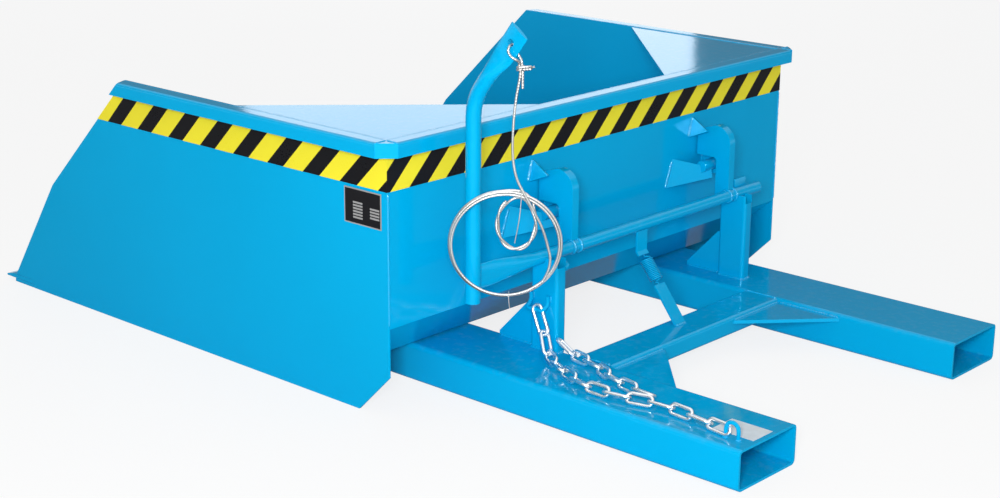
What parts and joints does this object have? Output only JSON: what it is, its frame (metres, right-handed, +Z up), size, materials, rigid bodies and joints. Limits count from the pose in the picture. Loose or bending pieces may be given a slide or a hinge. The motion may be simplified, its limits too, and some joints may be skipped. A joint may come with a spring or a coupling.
{
  "type": "forklift tipping bucket",
  "caption": "Steel shovel bucket for a forklift: fork pockets with a cross beam, tilting bucket, hooks on a sprung release shaft, hand lever with rope, safety chain",
  "frame": {"origin": "middle of the footprint of the steel parts, on the ground they stand on", "axes": "+X is the driver's right, +Y points forward to the cutting edge, +Z is up"},
  "size_m": [1.362, 2, 0.7803],
  "materials": {
    "blue_paint": "glossy light blue paint over welded sheet steel",
    "zinc_steel": "bright zinc plating",
    "rope_steel": "galvanised stranded wire rope",
    "hazard_tape": "yellow film with slanted black stripes",
    "black_plate": "bare satin black plate, no lettering",
    "label": "blank pale grey adhesive label"
  },
  "bodies": {
    "frame": {"pocket_left": "blue_paint", "pocket_right": "blue_paint", "cross_beam": "blue_paint", "corner_gusset_left": "blue_paint", "corner_gusset_right": "blue_paint", "post_left": "blue_paint", "post_right": "blue_paint", "post_gusset_left": "blue_paint", "post_gusset_right": "blue_paint", "stop_boss": "blue_paint", "pivot_lug_left": "blue_paint", "pivot_lug_right": "blue_paint", "pivot_pin_left": "zinc_steel", "pivot_pin_right": "zinc_steel", "spring_strap": "blue_paint", "tension_spring": "blue_paint", "chain_staple": "blue_paint", "chain_eye": "blue_paint", "chain_top_link": "zinc_steel", "chain_long_run_front": "zinc_steel", "chain_long_run_rear": "zinc_steel", "chain_short_run": "zinc_steel", "pocket_label": "label"},
    "bucket": {"side_panel_left": "blue_paint", "side_panel_right": "blue_paint", "back_wall": "blue_paint", "bevel_plate": "blue_paint", "floor_plate": "blue_paint", "floor_ramp": "blue_paint", "cutting_edge": "blue_paint", "wear_strip": "blue_paint", "rim_left": "blue_paint", "rim_right": "blue_paint", "rim_back": "blue_paint", "rim_corner_left": "blue_paint", "rim_corner_right": "blue_paint", "corner_plate_left": "blue_paint", "corner_plate_right": "blue_paint", "catch_pin_left": "blue_paint", "catch_pin_right": "blue_paint", "catch_cheek_left": "blue_paint", "catch_cheek_right": "blue_paint", "catch_wing_left": "blue_paint", "catch_wing_right": "blue_paint", "catch_gusset_left": "blue_paint", "catch_gusset_right": "blue_paint", "tilt_ear_left": "blue_paint", "tilt_ear_right": "blue_paint", "hazard_tape": "hazard_tape", "type_plate": "black_plate"},
    "release": {"release_shaft": "blue_paint", "lever": "blue_paint", "hook_left": "blue_paint", "hook_right": "blue_paint", "spring_arm": "blue_paint"},
    "rope": {"rope_loop": "rope_steel", "rope_knot": "rope_steel", "rope_line": "rope_steel", "rope_coil": "rope_steel", "rope_end_loop": "rope_steel"}
  },
  "joints": [
    {"name": "bucket_tilt", "type": "hinge", "parent": "frame", "child": "bucket", "pos_m": [0, 0.11, 0.045], "axis": [-1, 0, 0], "range_deg": [0, 50]},
    {"name": "release_turn", "type": "hinge", "parent": "frame", "child": "release", "pos_m": [0, -0.4, 0.275], "axis": [1, 0, 0], "range_deg": [0, 28], "stiffness_Nm_per_rad": 20, "springref_deg": -17.19, "deforming": ["tension_spring"]},
    {"name": "rope_swing", "type": "hinge", "parent": "release", "child": "rope", "pos_m": [-0.505, -0.48844, 0.74183], "axis": [1, 0, 0], "range_deg": [-28, 0]}
  ],
  "couplings": [
    {"joint": "rope_swing", "follows": "release_turn", "ratio": -1}
  ]
}
